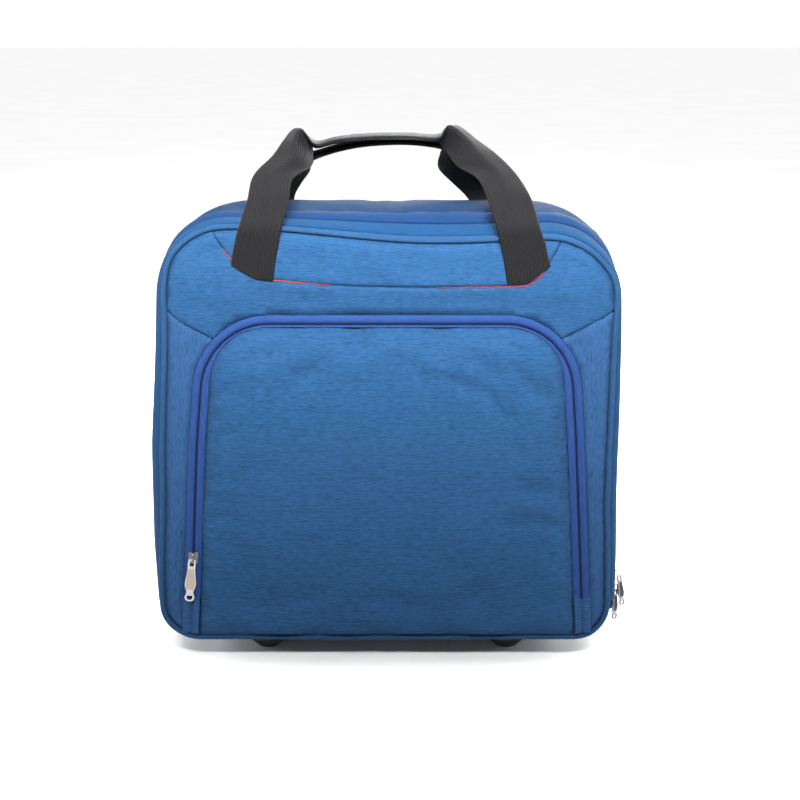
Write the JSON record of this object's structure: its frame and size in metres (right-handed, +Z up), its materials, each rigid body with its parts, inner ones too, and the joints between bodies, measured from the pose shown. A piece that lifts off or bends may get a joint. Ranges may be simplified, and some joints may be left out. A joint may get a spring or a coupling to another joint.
{
  "type": "rolling laptop case",
  "caption": "Soft wheeled laptop case with a zip-round front cover, an organiser pocket, webbing carry handles and a telescopic handle.",
  "frame": {"origin": "on the floor under the middle of the case, between the wheels and the front feet", "axes": "+X to the right as seen from the front, +Y to the back where the telescopic handle is, +Z up"},
  "size_m": [0.4261, 0.2233, 0.479],
  "materials": {
    "melange_cloth": "melange woven polyester",
    "royal_tape": "woven zipper tape",
    "zipper_coil": "moulded coil",
    "red_trim": "woven binding",
    "black_webbing": "ribbed webbing",
    "lining": "smooth lining cloth",
    "board": "stiffener sheet",
    "black_plastic": "fine-grained moulded plastic",
    "wheel_tyre": "moulded tread",
    "bright_metal": "polished nickel",
    "tube_metal": "satin anodised",
    "wire_metal": "coated spring wire",
    "dark_screws": "black zinc"
  },
  "bodies": {
    "case": {"bottom_panel": "melange_cloth", "main_gusset": "melange_cloth", "back_panel": "melange_cloth", "back_board": "board", "base_board": "board", "rear_piping": "melange_cloth", "rear_frame_wire": "wire_metal", "zip_tape_rear": "royal_tape", "zip_coil_rear": "zipper_coil", "zip_end_tabs": "melange_cloth", "laptop_divider": "lining", "divider_strap": "black_webbing", "trolley_base": "black_plastic", "trolley_housing": "black_plastic", "trolley_cover": "melange_cloth", "outer_tubes": "tube_metal", "case_screws": "dark_screws", "wheel_housing_left": "black_plastic", "wheel_housing_right": "black_plastic", "axle_left": "tube_metal", "axle_right": "tube_metal", "front_foot_left": "black_plastic", "front_foot_right": "black_plastic", "rear_handle_anchors": "black_webbing", "main_slider_lower": "bright_metal"},
    "front_cover": {"front_board": "board", "yoke_panel": "melange_cloth", "upper_front_panel": "melange_cloth", "side_panel_left": "melange_cloth", "side_panel_right": "melange_cloth", "yoke_trim": "red_trim", "front_piping": "melange_cloth", "front_frame_wire": "wire_metal", "front_gusset": "melange_cloth", "zip_tape_front": "royal_tape", "zip_coil_front": "zipper_coil", "pocket_tape_outer": "royal_tape", "pocket_coil_outer": "zipper_coil", "front_handle_anchors": "black_webbing"},
    "pocket_flap": {"pocket_panel": "melange_cloth", "pocket_gusset": "melange_cloth", "pocket_tape_inner": "royal_tape", "pocket_coil_inner": "zipper_coil"},
    "front_carry_handle": {"front_handle": "black_webbing"},
    "rear_carry_handle": {"rear_handle": "black_webbing"},
    "handle_stage_1": {"middle_tubes": "tube_metal", "middle_plugs": "black_plastic"},
    "handle_stage_2": {"inner_tubes": "tube_metal", "trolley_grip": "black_plastic"},
    "release_button": {"grip_button": "black_plastic"},
    "wheel_left": {"wheel_tyre_left": "wheel_tyre", "wheel_hub_left": "black_plastic"},
    "wheel_right": {"wheel_tyre_right": "wheel_tyre", "wheel_hub_right": "black_plastic"},
    "pocket_zip_slider": {"pocket_slider": "bright_metal"},
    "pocket_zip_pull": {"pocket_pull": "bright_metal"},
    "main_zip_slider": {"main_slider_upper": "bright_metal"},
    "main_zip_pull": {"main_pull_upper": "bright_metal"},
    "lower_zip_pull": {"main_pull_lower": "bright_metal"}
  },
  "joints": [
    {"name": "cover_hinge", "type": "hinge", "parent": "case", "child": "front_cover", "pos_m": [0, -0.094, 0.0249], "axis": [1, 0, 0], "range_deg": [0, 90]},
    {"name": "pocket_hinge", "type": "hinge", "parent": "front_cover", "child": "pocket_flap", "pos_m": [0, -0.096, 0.0304], "axis": [1, 0, 0], "range_deg": [0, 35]},
    {"name": "front_handle_swing", "type": "hinge", "parent": "front_cover", "child": "front_carry_handle", "pos_m": [0, -0.0978, 0.373], "axis": [1, 0, 0], "range_deg": [0, 110]},
    {"name": "rear_handle_swing", "type": "hinge", "parent": "case", "child": "rear_carry_handle", "pos_m": [0, 0.0939, 0.373], "axis": [-1, 0, 0], "range_deg": [0, 100]},
    {"name": "handle_stage_1_slide", "type": "slide", "parent": "case", "child": "handle_stage_1", "axis": [0, 0, 1], "range_m": [0, 0.28]},
    {"name": "handle_stage_2_slide", "type": "slide", "parent": "handle_stage_1", "child": "handle_stage_2", "axis": [0, 0, 1], "range_m": [0, 0.28]},
    {"name": "release_button_press", "type": "slide", "parent": "handle_stage_2", "child": "release_button", "axis": [0, 0, -1], "range_m": [0, 0.003], "stiffness_N_per_m": 400, "springref_m": -0.002},
    {"name": "wheel_left_spin", "type": "hinge", "parent": "case", "child": "wheel_left", "pos_m": [-0.158, 0.084, 0.022], "axis": [1, 0, 0], "continuous": true},
    {"name": "wheel_right_spin", "type": "hinge", "parent": "case", "child": "wheel_right", "pos_m": [0.158, 0.084, 0.022], "axis": [1, 0, 0], "continuous": true},
    {"name": "pocket_zip_travel", "type": "slide", "parent": "pocket_flap", "child": "pocket_zip_slider", "axis": [0.0611, 0, 0.9981], "range_m": [0, 0.14]},
    {"name": "pocket_pull_swing", "type": "hinge", "parent": "pocket_zip_slider", "child": "pocket_zip_pull", "pos_m": [-0.17555, -0.1009, 0.103], "axis": [-0.9981, 0, 0.0611], "range_deg": [0, 110]},
    {"name": "main_zip_travel", "type": "slide", "parent": "case", "child": "main_zip_slider", "axis": [0, 0, 1], "range_m": [0, 0.25]},
    {"name": "main_pull_swing", "type": "hinge", "parent": "main_zip_slider", "child": "main_zip_pull", "pos_m": [0.2127, -0.072, 0.077], "axis": [0, -1, 0], "range_deg": [0, 110]},
    {"name": "lower_pull_swing", "type": "hinge", "parent": "case", "child": "lower_zip_pull", "pos_m": [0.2127, -0.072, 0.063], "axis": [0, -1, 0], "range_deg": [0, 110]}
  ],
  "couplings": [
    {"joint": "lower_pull_swing", "follows": "main_pull_swing", "ratio": 1}
  ]
}
